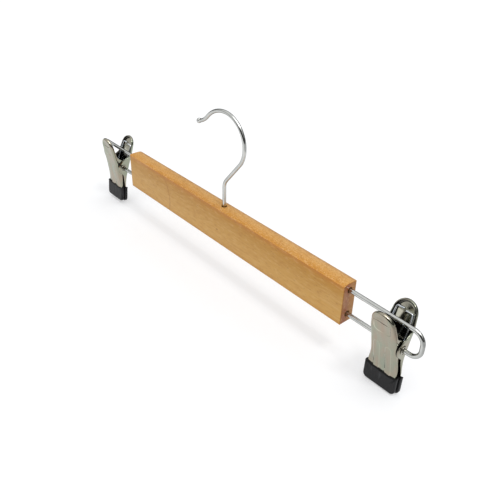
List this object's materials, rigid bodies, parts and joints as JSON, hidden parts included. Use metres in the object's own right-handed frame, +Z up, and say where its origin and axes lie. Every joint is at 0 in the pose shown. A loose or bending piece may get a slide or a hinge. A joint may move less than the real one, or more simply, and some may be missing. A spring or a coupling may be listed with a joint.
{
  "type": "skirt hanger",
  "caption": "Wooden bar on a swivelling wire hook, with a wire rail at each end and a sprung metal clip with soft tips that slides and swings on each rail.",
  "frame": {"origin": "the point of the hook's inside right above the neck's axis, where a rod bears when the bar hangs level", "axes": "+X along the bar, away from the side that the hook opens to; +Z up; -Y to the front"},
  "size_m": [0.3676, 0.0283, 0.1338],
  "materials": {
    "beech": "clear satin lacquer",
    "chrome_wire": "bright chrome plate",
    "plated_sheet": "bright nickel plate",
    "soft_vinyl": "satin dipped vinyl",
    "spring_wire": "zinc-plated spring wire",
    "plated_tube": "nickel plate"
  },
  "bodies": {
    "hook": {"hook": "chrome_wire"},
    "bar": {"bar": "beech", "rail_left": "chrome_wire", "rail_right": "chrome_wire"},
    "left_slider": {"clip_left_pivot_tube": "plated_tube"},
    "left_swing": {"clip_left_spring": "spring_wire"},
    "left_front_jaw": {"clip_left_front_plate": "plated_sheet", "clip_left_front_tip": "soft_vinyl"},
    "left_rear_jaw": {"clip_left_rear_plate": "plated_sheet", "clip_left_rear_tip": "soft_vinyl"},
    "right_slider": {"clip_right_pivot_tube": "plated_tube"},
    "right_swing": {"clip_right_spring": "spring_wire"},
    "right_front_jaw": {"clip_right_front_plate": "plated_sheet", "clip_right_front_tip": "soft_vinyl"},
    "right_rear_jaw": {"clip_right_rear_plate": "plated_sheet", "clip_right_rear_tip": "soft_vinyl"}
  },
  "joints": [
    {"name": "bar_swivel", "type": "hinge", "parent": "hook", "child": "bar", "pos_m": [0, 0, -0.072], "axis": [0, 0, 1], "continuous": true},
    {"name": "left_clip_slide", "type": "slide", "parent": "bar", "child": "left_slider", "axis": [1, 0, 0], "range_m": [-0.0036, 0.0233]},
    {"name": "left_clip_swing", "type": "hinge", "parent": "left_slider", "child": "left_swing", "pos_m": [-0.1604, 0, -0.0962], "axis": [1, 0, 0], "range_deg": [-3, 15]},
    {"name": "left_front_jaw_open", "type": "hinge", "parent": "left_swing", "child": "left_front_jaw", "pos_m": [-0.1604, 0, -0.0962], "axis": [-1, 0, 0], "range_deg": [0, 9], "stiffness_Nm_per_rad": 0.52, "springref_deg": -29.79, "deforming": ["clip_left_spring"]},
    {"name": "left_rear_jaw_open", "type": "hinge", "parent": "left_swing", "child": "left_rear_jaw", "pos_m": [-0.1604, 0, -0.0962], "axis": [1, 0, 0], "range_deg": [0, 9], "stiffness_Nm_per_rad": 0.52, "springref_deg": -29.79},
    {"name": "right_clip_slide", "type": "slide", "parent": "bar", "child": "right_slider", "axis": [1, 0, 0], "range_m": [-0.0234, 0.0035]},
    {"name": "right_clip_swing", "type": "hinge", "parent": "right_slider", "child": "right_swing", "pos_m": [0.1605, 0, -0.0962], "axis": [1, 0, 0], "range_deg": [-7.5, 10.5]},
    {"name": "right_front_jaw_open", "type": "hinge", "parent": "right_swing", "child": "right_front_jaw", "pos_m": [0.1605, 0, -0.0962], "axis": [-1, 0, 0], "range_deg": [0, 9], "stiffness_Nm_per_rad": 0.52, "springref_deg": -29.79, "deforming": ["clip_right_spring"]},
    {"name": "right_rear_jaw_open", "type": "hinge", "parent": "right_swing", "child": "right_rear_jaw", "pos_m": [0.1605, 0, -0.0962], "axis": [1, 0, 0], "range_deg": [0, 9], "stiffness_Nm_per_rad": 0.52, "springref_deg": -29.79}
  ],
  "couplings": [
    {"joint": "left_rear_jaw_open", "follows": "left_front_jaw_open", "ratio": 1},
    {"joint": "right_rear_jaw_open", "follows": "right_front_jaw_open", "ratio": 1}
  ]
}
